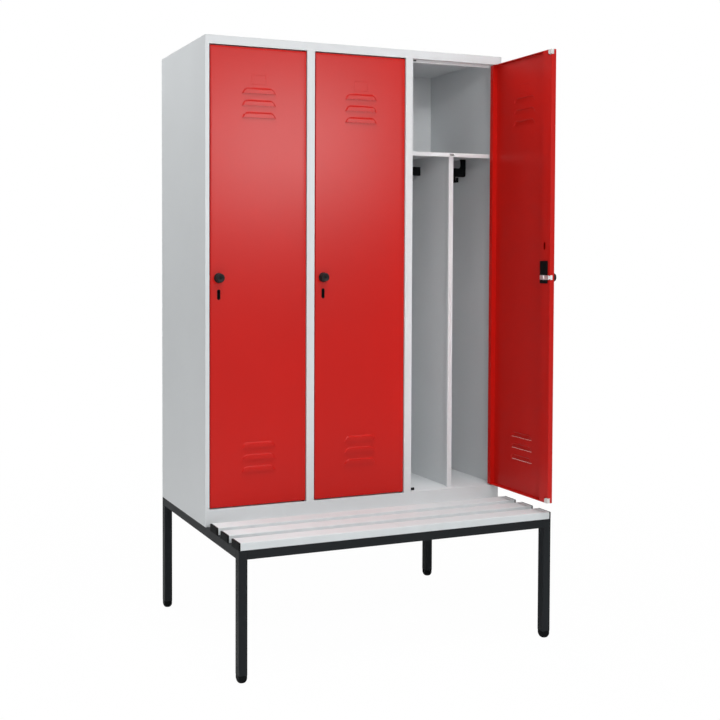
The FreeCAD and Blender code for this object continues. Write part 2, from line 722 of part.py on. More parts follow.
for n in range(3):
    k = n + 1
    angle = c("open_angle") if n == 2 else size(0)

    # tray with folded edges, pressed hoods and a pressed tag frame
    tray = box("tray", (FREE, OUT, DLOW), (HINGE, BACK, DHIGH))
    tray = rounded(
        "tray_bend", tray, c("door_bend"), lambda e_: along(e_, 2) and abs(middle(e_).y - OUT.value) < 1e-6
    )
    inside = box("tray_inside", (FREE + G, OUT + G, DLOW + G), (HINGE - G, BACK + G, DHIGH - G))
    hoods, hollows = [], []
    for start in (c("louver_upper"), c("louver_lower")):
        for step in range(3):
            z = start + c("louver_pitch") * step
            hoods.append(rounded("hood", wedge("hood_wedge", z, False), 5, slanted_corner))
            hollows.append(rounded("hollow", wedge("hollow_wedge", z, True), 4, slanted_corner))
    tag_z, line, proud = c("tag_low"), c("tag_line"), c("tag_out")
    tag_half = c("tag_wide") / 2
    tag_block = box(
        "tag_block", (MIDX - tag_half, OUT - proud, tag_z), (MIDX + tag_half, OUT + G / 2, tag_z + c("tag_tall"))
    )
    tag_field = box(
        "tag_field",
        (MIDX - tag_half + line, OUT - proud - 1, tag_z + line),
        (MIDX + tag_half - line, OUT, tag_z + c("tag_tall") - line),
    )
    tag = cut("tag_frame", tag_block, [tag_field])
    shell = cut("tray_shell", tray, [inside])
    shell = fuse("tray_pressed", [shell, tag] + hoods)
    slit_half = c("slit_wide") / 2
    slit_mid = c("slit_mid_z")
    straight = c("slit_tall") / 2 - slit_half
    tools = hollows + [
        cylinder("spindle_way", (LOCK_X, OUT - 1, LOCK_Z), RUN, G + 2, "y"),
        box(
            "slit",
            (LOCK_X - slit_half, OUT - 1, slit_mid - straight),
            (LOCK_X + slit_half, OUT + G + 1, slit_mid + straight),
        ),
        cylinder("slit_top", (LOCK_X, OUT - 1, slit_mid + straight), slit_half, G + 2, "y"),
        cylinder("slit_foot", (LOCK_X, OUT - 1, slit_mid - straight), slit_half, G + 2, "y"),
        # way for the bolt in the free edge
        box(
            "bolt_way",
            (FREE - 1, BOLT_Y - c("bolt_gap"), LOCK_Z - c("bolt_tall") / 2 - c("bolt_gap")),
            (FREE + G + 1, BOLT_Y + c("bolt_thick") + c("bolt_gap"), LOCK_Z + c("bolt_tall") / 2 + c("bolt_gap")),
        ),
        # corners that the buffers fill
        box("buffer_way", (FREE - 1, BUF_Y, DHIGH - BUF), (FREE + BUF, BACK + 1, DHIGH + 1)),
        box("buffer_way", (FREE - 1, BUF_Y, DLOW - 1), (FREE + BUF, BACK + 1, DLOW + BUF)),
        # holes for the bushes
        cylinder("bush_way", (0, 0, DHIGH - G - 1), c("bush_radius") + 0.05, G + 2),
        cylinder("bush_way", (0, 0, DLOW - 1), c("bush_radius") + 0.05, G + 2),
    ]
    piece("door_panel_%d" % k, set_on_pivot(cut("door_panel", shell, tools), n, angle))

    # folded stiffening channels behind both upright edges
    band_end = FREE + c("lock_band")
    lock_flat = box("lock_flat", (FREE + G, BACK - G, DLOW + BUF + 2), (band_end, BACK, DHIGH - BUF - 2))
    lock_wall = box("lock_wall", (band_end - G, OUT + G, DLOW + G), (band_end, BACK - G, DHIGH - G))
    lock_foot = box("lock_foot", (FREE + BUF + 1, BACK - G, DLOW + G), (band_end, BACK, DLOW + BUF + 2))
    lock_head = box("lock_head", (FREE + BUF + 1, BACK - G, DHIGH - BUF - 2), (band_end, BACK, DHIGH - G))
    lock_bent = fuse("lock_bent", [lock_flat, lock_wall, lock_foot, lock_head])
    ob_half = c("oblong_wide") / 2
    ob_mid = c("oblong_mid_z")
    ob_straight = c("oblong_tall") / 2 - ob_half
    lock_channel = cut(
        "lock_channel",
        lock_bent,
        [
            cylinder("spindle_way", (LOCK_X, BACK - G - 1, LOCK_Z), RUN, G + 2, "y"),
            box(
                "oblong",
                (LOCK_X - ob_half, BACK - G - 1, ob_mid - ob_straight),
                (LOCK_X + ob_half, BACK + 1, ob_mid + ob_straight),
            ),
            cylinder("oblong_end", (LOCK_X, BACK - G - 1, ob_mid + ob_straight), ob_half, G + 2, "y"),
            cylinder("oblong_end", (LOCK_X, BACK - G - 1, ob_mid - ob_straight), ob_half, G + 2, "y"),
        ],
    )
    band = HINGE - c("hinge_band")
    hinge_flat = box("hinge_flat", (band, BACK - G, DLOW + G), (HINGE - G, BACK, DHIGH - G))
    hinge_wall = box("hinge_wall", (band, OUT + G, DLOW + G), (band + G, BACK - G, DHIGH - G))
    hinge_channel = fuse("hinge_channel", [hinge_flat, hinge_wall])
    piece("door_channels_%d" % k, set_on_pivot(group("door_channels", [lock_channel, hinge_channel]), n, angle))

    # flanged bushes on the pins
    bushes = []
    for z, up in ((DHIGH, True), (DLOW, False)):
        flange_z = z if up else z - c("bush_flange_tall")
        sleeve_z = z - c("bush_long") if up else z
        flange = cylinder("bush_flange", (0, 0, flange_z), c("bush_flange"), c("bush_flange_tall"))
        sleeve = cylinder("bush_sleeve", (0, 0, sleeve_z), c("bush_radius"), c("bush_long"))
        way = cylinder(
            "pin_way", (0, 0, z - c("bush_long") - 5), c("pin_radius") + c("running_gap"), c("bush_long") * 2 + 10
        )
        bushes.append(cut("bush", fuse("bush_body", [flange, sleeve]), [way]))
    piece("hinge_bushes_%d" % k, set_on_pivot(group("hinge_bushes", bushes), n, angle))

    # soft corner buffers at the free edge
    buffers = []
    for z in (DHIGH - BUF, DLOW):
        block = box("buffer", (FREE, BUF_Y, z), (FREE + BUF, BACK + c("buffer_proud"), z + BUF))
        buffers.append(
            rounded("corner_buffer", block, 1, lambda e_: abs(middle(e_).y - (BACK + c("buffer_proud")).value) < 1e-6)
        )
    piece("corner_buffers_%d" % k, set_on_pivot(group("corner_buffers", buffers), n, angle))

    # lock case on the inside of the lock channel
    case_half = c("case_wide") / 2
    case_block = box(
        "case_block",
        (LOCK_X - case_half, BACK, LOCK_Z - c("case_down")),
        (LOCK_X + case_half, BACK + c("case_thick"), LOCK_Z + c("case_up")),
    )
    case_soft = rounded(
        "case_soft", case_block, 3, lambda e_: along(e_, 1)
    )
    case = cut(
        "lock_case", case_soft, [cylinder("spindle_way", (LOCK_X, BACK - 1, LOCK_Z), RUN, c("case_thick") + 2, "y")]
    )
    piece("lock_case_%d" % k, set_on_pivot(case, n, angle))

    # knob with its spindle: turned, with a recessed face and a key slot
    knob = new_body("knob_turned")
    r = c("knob_radius")
    y0 = OUT - 0.3
    face = OUT - c("knob_out")
    end = BACK + c("case_thick") + c("lever_gap")
    sketch = polygon(
        knob,
        "XY_Plane",
        [
            (0, end), (SPINDLE, end), (SPINDLE, y0), (r, y0), (r, y0 - 3), (r - 1, y0 - 4),
            (r - 1.7, face + 1.5), (r - 3.2, face), (r - 5, face), (r - 6, face + 1.2),
            (5, face + 1.2), (5, face + 0.2), (0, face + 0.2),
        ],
    )
    turn = knob.newObject("PartDesign::Revolution", "knob_turn")
    turn.Profile = sketch
    turn.ReferenceAxis = (sketch, ["V_Axis"])
    turn.Angle = 360
    doc.recompute()
    pocket(
        knob,
        polygon(knob, "XZ_Plane", [(-1.2, -3.6), (1.2, -3.6), (1.2, 3.6), (-1.2, 3.6)], -face - 0.2 - 3),
        6,
        backwards=True,
    )
    knob_x, knob_z = LOCK_X, LOCK_Z
    a_rad = angle.value
    turned = FreeCAD.Rotation(Vector(0, 0, 1), a_rad)
    spot = turned.multVec(Vector(knob_x.value, 0, 0))
    px, py, _ = room(PIVOT[n], PIVOT_Y, 0)
    bind(knob, "Placement.Base.x", Size(px.value + spot.x, "(%s + %s * cos(%s * 1 deg))" % (px.text, knob_x.text, angle.text)))
    bind(knob, "Placement.Base.y", Size(py.value + spot.y, "(%s + %s * sin(%s * 1 deg))" % (py.text, knob_x.text, angle.text)))
    bind(knob, "Placement.Base.z", knob_z)
    bind(knob, "Placement.Rotation.Angle", angle)
    piece("knob_%d" % k, knob)

    # lever on the end of the spindle, pointing at the free edge
    ly0 = end
    ly1 = end + c("lever_thick")
    hub = cylinder("lever_hub", (LOCK_X, ly0, LOCK_Z), c("lever_tall") / 2, c("lever_thick") + 1.5, "y")
    arm = box(
        "lever_arm",
        (LOCK_X - c("lever_long"), ly0, LOCK_Z - c("lever_tall") / 2),
        (LOCK_X + c("lever_tail"), ly1, LOCK_Z + c("lever_tall") / 2),
    )
    arm = rounded("lever_soft", arm, 2, lambda e_: along(e_, 1))
    tip = box(
        "lever_tip",
        (LOCK_X - c("lever_long"), BACK + c("lever_gap"), LOCK_Z - c("lever_tall") / 2 + 2),
        (LOCK_X - c("lever_long") + c("lever_end"), ly1, LOCK_Z + c("lever_tall") / 2 - 2),
    )
    piece("lever_%d" % k, set_on_pivot(fuse("lever", [hub, arm, tip]), n, angle))

    # sliding bolt, forked round the spindle
    b0 = FREE - c("bolt_out")
    bolt_block = box(
        "bolt_block",
        (b0, BOLT_Y, LOCK_Z - c("bolt_tall") / 2),
        (b0 + c("bolt_long"), BOLT_Y + c("bolt_thick"), LOCK_Z + c("bolt_tall") / 2),
    )
    bolt_soft = rounded("bolt_soft", bolt_block, 2, lambda e_: along(e_, 1) and middle(e_).x < b0.value + 1)
    fork = box(
        "bolt_fork",
        (LOCK_X - SPINDLE - c("bolt_gap"), BOLT_Y - 1, LOCK_Z - SPINDLE - c("bolt_gap")),
        (b0 + c("bolt_long") + 1, BOLT_Y + c("bolt_thick") + 1, LOCK_Z + SPINDLE + c("bolt_gap")),
    )
    piece("latch_bolt_%d" % k, set_on_pivot(cut("latch_bolt", bolt_soft, [fork]), n, angle))

# ---------------------------------------------------------------- check and write
doc.recompute()
for thing in doc.Objects:
    if "Invalid" in thing.State or "Error" in thing.State:
        raise RuntimeError("failed: %s (%s)" % (thing.Name, thing.Label))
seen = set()
for node, thing in PIECES:
    shape = thing.Shape
    if node in seen or thing.Label != node:
        raise RuntimeError("name used twice: " + node)
    seen.add(node)
    if shape.isNull() or not shape.isValid() or not shape.Solids:
        raise RuntimeError("bad shape: " + node)

os.makedirs("parts", exist_ok=True)
whole = FreeCAD.BoundBox()
for node, thing in PIECES:
    whole.add(thing.Shape.BoundBox)
    thing.Shape.exportStep("parts/%s.step" % node)
print("%d pieces" % len(PIECES))
print("box %.2f %.2f %.2f to %.2f %.2f %.2f" % (whole.XMin, whole.YMin, whole.ZMin, whole.XMax, whole.YMax, whole.ZMax))
for node, thing in PIECES:
    print("%-20s solids %d volume %.1f" % (node, len(thing.Shape.Solids), thing.Shape.Volume))
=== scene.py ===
import json
import math

import bmesh
import bpy
from mathutils import Matrix, Vector


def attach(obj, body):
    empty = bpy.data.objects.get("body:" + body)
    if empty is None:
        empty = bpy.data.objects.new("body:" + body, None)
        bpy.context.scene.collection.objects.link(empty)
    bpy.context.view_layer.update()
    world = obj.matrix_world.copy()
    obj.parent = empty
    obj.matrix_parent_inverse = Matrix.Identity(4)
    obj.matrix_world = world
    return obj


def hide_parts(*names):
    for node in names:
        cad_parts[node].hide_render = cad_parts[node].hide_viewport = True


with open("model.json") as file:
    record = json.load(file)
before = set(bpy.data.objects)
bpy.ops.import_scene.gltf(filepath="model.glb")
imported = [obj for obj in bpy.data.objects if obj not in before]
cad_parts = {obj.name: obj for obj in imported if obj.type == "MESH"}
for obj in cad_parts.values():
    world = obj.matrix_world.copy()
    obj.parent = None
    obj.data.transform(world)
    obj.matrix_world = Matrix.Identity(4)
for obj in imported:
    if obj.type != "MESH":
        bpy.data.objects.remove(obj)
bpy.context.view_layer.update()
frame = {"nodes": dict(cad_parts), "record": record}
NODES = frame["nodes"]
scene = bpy.context.scene

MM = 0.001


def own(x, y, z):
    """A point measured from the cabinet's front left corner on the floor, in millimetres."""
    return Vector(((x - 602.25) * MM, (y - 75.5) * MM, z * MM))


# ---------------------------------------------------------------- materials
def tree(name):
    mat = bpy.data.materials.new(name)
    mat.use_nodes = True
    nt = mat.node_tree
    nt.nodes.clear()
    out = nt.nodes.new("ShaderNodeOutputMaterial")
    bsdf = nt.nodes.new("ShaderNodeBsdfPrincipled")
    nt.links.new(bsdf.outputs["BSDF"], out.inputs["Surface"])
    coord = nt.nodes.new("ShaderNodeTexCoord")
    return mat, nt, bsdf, coord.outputs["Object"]


def noise(nt, coord, scale, detail=3.0, rough=0.5, stretch=None):
    n = nt.nodes.new("ShaderNodeTexNoise")
    n.inputs["Scale"].default_value = scale
    n.inputs["Detail"].default_value = detail
    n.inputs["Roughness"].default_value = rough
    if stretch:
        m = nt.nodes.new("ShaderNodeMapping")
        m.inputs["Scale"].default_value = stretch
        nt.links.new(coord, m.inputs["Vector"])
        coord = m.outputs["Vector"]
    nt.links.new(coord, n.inputs["Vector"])
    return n.outputs["Fac"]


def spread(nt, value, low, high, a=0.3, b=0.7):
    r = nt.nodes.new("ShaderNodeMapRange")
    r.inputs["From Min"].default_value = a
    r.inputs["From Max"].default_value = b
    r.inputs["To Min"].default_value = low
    r.inputs["To Max"].default_value = high
    nt.links.new(value, r.inputs["Value"])
    return r.outputs["Result"]


def tones(nt, value, stops):
    r = nt.nodes.new("ShaderNodeValToRGB")
    e = r.color_ramp.elements
    while len(e) < len(stops):
        e.new(0.5)
    for i, (at, colour) in enumerate(stops):
        e[i].position = at
        e[i].color = (*colour, 1)
    nt.links.new(value, r.inputs["Fac"])
    return r.outputs["Color"]


def bump(nt, value, strength, distance, under=None):
    b = nt.nodes.new("ShaderNodeBump")
    b.inputs["Strength"].default_value = strength
    b.inputs["Distance"].default_value = distance
    nt.links.new(value, b.inputs["Height"])
    if under is not None:
        nt.links.new(under, b.inputs["Normal"])
    return b.outputs["Normal"]


def shade(colour, k):
    return tuple(max(0.0, min(1.0, v * k)) for v in colour)


def powder_coat(name, colour, rough, peel=0.12, grain=420, vary=0.035, gloss=0.5, drift=0.02):
    """Baked powder coat: a fine orange-peel skin, with slow drifts of tone and gloss."""
    mat, nt, bsdf, at = tree(name)
    slow = noise(nt, at, 2.2, 3, 0.55)
    fine = noise(nt, at, 160, 2, 0.5)
    mix = nt.nodes.new("ShaderNodeMath")
    mix.operation = "MULTIPLY_ADD"
    nt.links.new(fine, mix.inputs[0])
    mix.inputs[1].default_value = 0.25
    nt.links.new(slow, mix.inputs[2])
    nt.links.new(
        tones(nt, mix.outputs[0], [(0.42, shade(colour, 1 - vary)), (0.82, shade(colour, 1 + vary))]),
        bsdf.inputs["Base Color"],
    )
    nt.links.new(spread(nt, noise(nt, at, 5, 4, 0.6), rough - drift, rough + drift), bsdf.inputs["Roughness"])
    skin = bump(nt, noise(nt, at, grain, 2, 0.45), peel, 0.0004)
    nt.links.new(skin, bsdf.inputs["Normal"])
    bsdf.inputs["Specular IOR Level"].default_value = gloss
    return mat


def moulded(name, colour, rough, grain=900, peel=0.1, vary=0.08, streak=None, gloss=0.4):
    """Moulded or extruded plastic: a fine spark-eroded texture, or faint die lines along one axis."""
    mat, nt, bsdf, at = tree(name)
    slow = noise(nt, at, 14, 3, 0.55)
    nt.links.new(
        tones(nt, slow, [(0.35, shade(colour, 1 - vary)), (0.65, shade(colour, 1 + vary))]), bsdf.inputs["Base Color"]
    )
    nt.links.new(spread(nt, noise(nt, at, 60, 3, 0.6), rough - 0.05, rough + 0.05), bsdf.inputs["Roughness"])
    skin = bump(nt, noise(nt, at, grain, 2, 0.5), peel, 0.0003)
    if streak:
        skin = bump(nt, noise(nt, at, 260, 2, 0.5, streak), 0.08, 0.0005, skin)
    nt.links.new(skin, bsdf.inputs["Normal"])
    bsdf.inputs["Specular IOR Level"].default_value = gloss
    return mat


def zinc(name, colour, rough):
    """Bright zinc plate: brushed lines, cloudy tone."""
    mat, nt, bsdf, at = tree(name)
    bsdf.inputs["Metallic"].default_value = 1.0
    cloud = noise(nt, at, 90, 4, 0.6)
    nt.links.new(
        tones(nt, cloud, [(0.3, shade(colour, 0.86)), (0.7, shade(colour, 1.05))]), bsdf.inputs["Base Color"]
    )
    lines = noise(nt, at, 700, 2, 0.5, (0.06, 0.06, 1.0))
    nt.links.new(spread(nt, lines, rough - 0.07, rough + 0.09), bsdf.inputs["Roughness"])
    nt.links.new(bump(nt, lines, 0.06, 0.0003), bsdf.inputs["Normal"])
    return mat


MATS = {
    "cabinet_paint": powder_coat("cabinet_paint", (0.697, 0.724, 0.738), 0.42, peel=0.10, vary=0.02, gloss=0.3),
    "door_paint": powder_coat("door_paint", (0.56, 0.0090, 0.0055), 0.30, peel=0.07, grain=300, vary=0.03, gloss=0.22, drift=0.008),
    "frame_paint": powder_coat("frame_paint", (0.0148, 0.0172, 0.0194), 0.45, peel=0.22, grain=520, vary=0.10, gloss=0.09),
    "slat_plastic": moulded("slat_plastic", (0.662, 0.706, 0.720), 0.62, vary=0.02, streak=(0.02, 1.0, 1.0), gloss=0.25),
    "black_plastic": moulded("black_plastic", (0.006, 0.0068, 0.0072), 0.5, vary=0.15, gloss=0.04),
    "knob_plastic": moulded("knob_plastic", (0.024, 0.0235, 0.024), 0.45, vary=0.12, gloss=0.08),
    "black_rubber": moulded("black_rubber", (0.012, 0.012, 0.013), 0.75, vary=0.15, gloss=0.1),
    "white_plastic": moulded("white_plastic", (0.74, 0.74, 0.72), 0.4, vary=0.03),
    "zinc_plate": zinc("zinc_plate", (0.93, 0.93, 0.94), 0.42),
}
SLOT = {p["node"]: p["material_slot"] for p in frame["record"]["subparts"]}


def clad(obj, mat):
    obj.data.materials.clear()
    obj.data.materials.append(mat)


for name, obj in NODES.items():
    clad(obj, MATS[SLOT[name]])


# ---------------------------------------------------------------- bent and moulded edges
def soften(obj, width, segments=2, angle=35):
    """Rolls the hard edges, as a bend or a mould leaves them."""
    m = obj.modifiers.new("weld", "WELD")
    m.merge_threshold = 1e-5
    m = obj.modifiers.new("flat", "DECIMATE")
    m.decimate_type = "DISSOLVE"
    m.angle_limit = math.radians(0.4)
    m = obj.modifiers.new("roll", "BEVEL")
    m.width = width * MM
    m.segments = segments
    m.limit_method = "ANGLE"
    m.angle_limit = math.radians(angle)
    m.use_clamp_overlap = True
    m.harden_normals = False
    m = obj.modifiers.new("shade", "WEIGHTED_NORMAL")
    m.keep_sharp = False
    m.weight = 80
    for p in obj.data.polygons:
        p.use_smooth = True


EDGE = {"cabinet_paint": 0.3, "door_paint": 0.3, "frame_paint": 0.7, "slat_plastic": 0.6, "black_plastic": 0.5,
        "black_rubber": 0.6, "white_plastic": 0.4, "zinc_plate": 0.3}
for name, obj in NODES.items():
    soften(obj, EDGE[SLOT[name]])

# ---------------------------------------------------------------- mesh helpers
def steps(a, b, n):
    return [a + (b - a) * i / n for i in range(n + 1)]


def lines(*groups, near=0.02):
    """Sorted grid lines, with those closer than near merged."""
    out = []
    for v in sorted(v for g in groups for v in g):
        if not out or v - out[-1] > near:
            out.append(v)
    return out


def make(name, verts, faces, mat, place=None, smooth=True):
    mesh = bpy.data.meshes.new(name)
    mesh.from_pydata([tuple(v) for v in verts], [], faces)
    mesh.validate()
    mesh.update()
    for p in mesh.polygons:
        p.use_smooth = smooth
    obj = bpy.data.objects.new(name, mesh)
    scene.collection.objects.link(obj)
    if place is not None:
        obj.data.transform(place)
    clad(obj, mat)
    return obj


def fix_normals(obj):
    bm = bmesh.new()
    bm.from_mesh(obj.data)
    bmesh.ops.remove_doubles(bm, verts=bm.verts, dist=1e-7)
    bmesh.ops.recalc_face_normals(bm, faces=bm.faces)
    bm.to_mesh(obj.data)
    bm.free()


def soft_edges(obj, width, segments=2, angle=35):
    m = obj.modifiers.new("roll", "BEVEL")
    m.width = width * MM
    m.segments = segments
    m.limit_method = "ANGLE"
    m.angle_limit = math.radians(angle)
    m = obj.modifiers.new("shade", "WEIGHTED_NORMAL")
    m.keep_sharp = False
    m.weight = 80


def settle(obj, angle=38):
    """Applies the modifiers and keeps the edges sharper than the angle crisp."""
    deps = bpy.context.evaluated_depsgraph_get()
    mesh = bpy.data.meshes.new_from_object(obj.evaluated_get(deps))
    mesh.name = obj.name
    obj.modifiers.clear()
    obj.data = mesh
    mesh.set_sharp_from_angle(angle=math.radians(angle))


def stand_for(obj, node, body):
    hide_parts(node)
    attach(obj, body)


# ---------------------------------------------------------------- door panels
FREE, HINGE, OUT, BACK, DLOW, DHIGH = -356.5, 7.0, -7.0, 13.0, 494.0, 2096.0
MIDX, LOCK_X, LOCK_Z, SLIT_Z = -175.5, -325.5, 1295.0, 1237.0
BEND = 2.2
PIVOT = [(-0.22675, -0.067, 0), (0.17325, -0.067, 0), (0.57325, -0.067, 0)]
HOODS = [613, 655, 697, 1853, 1895, 1937]
HOOD_HALF, HOOD_TOP, HOOD_TALL, HOOD_OUT, HOOD_SOFT = 63.5, 53.5, 18.0, 3.8, 3.4
LIP = 0.4


def door_place(k):
    return Matrix.Translation(Vector(PIVOT[k - 1])) @ Matrix.Rotation(math.radians(90 if k == 3 else 0), 4, "Z") @ Matrix.Scale(MM, 4)


def hood(u, v):
    """How far a pressed hood stands out, u from its middle and v above its lip."""
    if not 0 <= v <= HOOD_TALL or u >= HOOD_HALF:
        return 0.0
    a = HOOD_TALL - v
    run = HOOD_HALF - HOOD_TOP
    b = ((HOOD_HALF - u) * HOOD_TALL - run * v) / math.hypot(run, HOOD_TALL)
    r = 8.0
    if a < r and b < r:
        d = r - math.hypot(r - a, r - b)
    else:
        d = min(a, b)
    t = max(0.0, min(1.0, d / HOOD_SOFT))
    return HOOD_OUT * t * t * (3 - 2 * t)


def tag_rim(u, v):
    """The pressed frame of the tag field, from the middle of the field."""
    d = max(u - 26.7, abs(v) - 16.7)
    return 0.5 * max(0.0, 1 - max(0.0, abs(d) - 0.45) / 0.5)


def stadium(cx, cz, half, straight, n=10):
    pts = []
    for i in range(n + 1):
        t = math.pi * i / n
        pts.append((cx + half * math.cos(t), cz + straight + half * math.sin(t)))
    for i in range(n + 1):
        t = math.pi + math.pi * i / n
        pts.append((cx + half * math.cos(t), cz - straight + half * math.sin(t)))
    return pts


def circle(cx, cz, r, n=32):
    return [(cx + r * math.cos(2 * math.pi * i / n), cz + r * math.sin(2 * math.pi * i / n)) for i in range(n)]


def between(rim, loop):
    """Faces that fill the space between a hole's edge and the rim around it, counter-clockwise."""
    cx = (min(p[0] for p in loop) + max(p[0] for p in loop)) / 2
    cy = (min(p[1] for p in loop) + max(p[1] for p in loop)) / 2

    def turn(p):
        return math.atan2(p[1] - cy, p[0] - cx)

    rim, loop = sorted(rim, key=turn), sorted(loop, key=turn)
    pick = []
    for p in rim:
        off = [abs(math.remainder(turn(q) - turn(p), 2 * math.pi)) for q in loop]
        pick.append(off.index(min(off)))
    out = []
    for m in range(len(rim)):
        a, b = pick[m], pick[(m + 1) % len(rim)]
        arc = [b]
        while arc[-1] != a:
            arc.append((arc[-1] - 1) % len(loop))
        out.append([rim[m], rim[(m + 1) % len(rim)]] + [loop[t] for t in arc])
    return out


def door_sheet():
    end = [HOOD_HALF - 0.9 * i for i in range(21)]
    xs = lines(
        steps(FREE + BEND, FREE + 18, 3),
        [LOCK_X - 15, LOCK_X + 15],
        [MIDX - u for u in end] + [MIDX + u for u in end],
        [MIDX - HOOD_HALF - 4, MIDX + HOOD_HALF + 4],
        [MIDX + s * (26.7 + d) for s in (-1, 1) for d in (-1.6, -0.95, -0.45, 0, 0.45, 0.95, 1.6)],
        steps(MIDX - 20, MIDX + 20, 4),
        steps(MIDX - 160 + 30, MIDX - 90, 2),
        steps(MIDX + 90, MIDX + 150, 3),
        [-9.0, HINGE - BEND],
    )
    rise = [0, 2, 4, 6, 8] + [9 + 0.75 * i for i in range(13)]
    holes = {
        (LOCK_X - 15, LOCK_X + 15, 1211.0, 1263.0): stadium(LOCK_X, SLIT_Z, 5.5, 12.0),
        (LOCK_X - 15, LOCK_X + 15, 1280.0, 1310.0): circle(LOCK_X, LOCK_Z, 6.0),
    }
    zs = lines(
        [DLOW + BEND, DLOW + 9, DLOW + 18],
        [z + v for z in HOODS for v in rise],
        [z - 4 for z in HOODS],
        [z + HOOD_TALL + 3 for z in HOODS],
        [1211, 1263, 1280, LOCK_Z - 8.8, LOCK_Z + 8.8, 1310],
        [1986.5 + s * (16.7 + d) for s in (-1, 1) for d in (-1.6, -0.95, -0.45, 0, 0.45, 0.95, 1.6)],
        [1986.5],
        steps(740, 1200, 8),
        steps(1330, 1840, 8),
        [560, 2030, 2055, DHIGH - 18, DHIGH - 9, DHIGH - BEND],
    )
    verts, faces, at = [], [], {}

    def vert(x, y, z):
        key = (round(x, 3), round(y, 3), round(z, 3))
        if key not in at:
            at[key] = len(verts)
            verts.append((x, y, z))
        return at[key]

    def front(x, z, above):
        """A point of the pressed front, seen from the cell above or below a lip."""
        u = abs(x - MIDX)
        out = drop = 0.0
        for h in HOODS:
            v = z - h
            if -0.001 <= v <= HOOD_TALL and (above or v > 0.001):
                out = max(out, hood(u, max(0.0, v)))
                if v < 0.001:
                    drop = LIP * out / HOOD_OUT
        out = max(out, tag_rim(u, z - 1986.5))
        return vert(x, OUT - out, z - drop)

    def in_hole(x0, x1, z0, z1):
        return any(a - 0.01 < x0 and x1 < b + 0.01 and e - 0.01 < z0 and z1 < f + 0.01 for a, b, e, f in holes)

    for i in range(len(xs) - 1):
        for j in range(len(zs) - 1):
            if in_hole(xs[i], xs[i + 1], zs[j], zs[j + 1]):
                continue
            q = [
                front(xs[i], zs[j], True),
                front(xs[i + 1], zs[j], True),
                front(xs[i + 1], zs[j + 1], False),
                front(xs[i], zs[j + 1], False),
            ]
            faces.append(q)
    for (x0, x1, z0, z1), loop in holes.items():
        rim = [(x, z) for x in (x0, x1) for z in zs if z0 - 0.01 <= z <= z1 + 0.01]
        rim += [(x, z) for x in xs if x0 + 0.01 < x < x1 - 0.01 for z in (z0, z1)]
        for f in between(rim, loop):
            faces.append([vert(x, OUT, z) for x, z in f])
    # bends and folded edges: rings that follow the rim of the front
    ring = (
        [(x, zs[0], 0, -1) for x in xs]
        + [(xs[-1], zs[0], s, s2) for s, s2 in [(math.sin(math.radians(t)), -math.cos(math.radians(t))) for t in (22.5, 45, 67.5)]]
        + [(xs[-1], z, 1, 0) for z in zs]
        + [(xs[-1], zs[-1], s, s2) for s, s2 in [(math.cos(math.radians(t)), math.sin(math.radians(t))) for t in (22.5, 45, 67.5)]]
        + [(x, zs[-1], 0, 1) for x in reversed(xs)]
        + [(xs[0], zs[-1], -s, s2) for s, s2 in [(math.sin(math.radians(t)), math.cos(math.radians(t))) for t in (22.5, 45, 67.5)]]
        + [(xs[0], z, -1, 0) for z in reversed(zs)]
        + [(xs[0], zs[0], -s, -s2) for s, s2 in [(math.cos(math.radians(t)), math.sin(math.radians(t))) for t in (22.5, 45, 67.5)]]
    )
    levels = [(BEND * math.sin(math.radians(t)), OUT + BEND * (1 - math.cos(math.radians(t)))) for t in (0, 22.5, 45, 67.5, 90)]
    levels += [(BEND, y) for y in (1.2, 3.0, 6.0, 11.8, BACK)]
    bush = {}

    def gone(p, q, y0, y1):
        """Cut-outs in the folded edges."""
        x, z = (p[0] + q[0]) / 2, (p[1] + q[1]) / 2
        side = (p[2] + q[2]) / 2
        free = side < -0.5
        if free and abs(z - LOCK_Z) < 8.8 and 1.19 < y0 and y1 < 11.81:
            return True
        if y0 > 2.99 and (z > DHIGH - 18 or z < DLOW + 18) and x < FREE + 18:
            return True
        return False

    for m in range(len(ring)):
        p, q = ring[m], ring[(m + 1) % len(ring)]
        for n in range(len(levels) - 1):
            (r0, y0), (r1, y1) = levels[n], levels[n + 1]
            if gone(p, q, y0, y1):
                continue
            flat_end = abs(p[3] + q[3]) > 1.99 and abs((p[0] + q[0]) / 2 - (-9.0 + HINGE - BEND) / 2) < 0.1
            if flat_end and y0 >= OUT + BEND - 0.01 and y1 <= 6.01:
                bush.setdefault(p[3], (p, q))
                continue
            f = [
                vert(p[0] + r0 * p[2], y0, p[1] + r0 * p[3]),
                vert(p[0] + r1 * p[2], y1, p[1] + r1 * p[3]),
                vert(q[0] + r1 * q[2], y1, q[1] + r1 * q[3]),
                vert(q[0] + r0 * q[2], y0, q[1] + r0 * q[3]),
            ]
            f = [v for t, v in enumerate(f) if v != f[t - 1]]
            if len(f) > 2:
                faces.append(f)
    # round holes for the hinge bushes in the upper and lower edges
    for way, (p, q) in bush.items():
        z = p[1] + BEND * way
        xa, xb = sorted((p[0], q[0]))
        ys = [OUT + BEND, 1.2, 3.0, 6.0]
        for f in between([(x, y) for x in (xa, xb) for y in ys], circle(0.0, 0.0, 4.6, 24)):
            f = [vert(x, y, z) for x, y in f]
            faces.append(f if way > 0 else f[::-1])
    return verts, faces


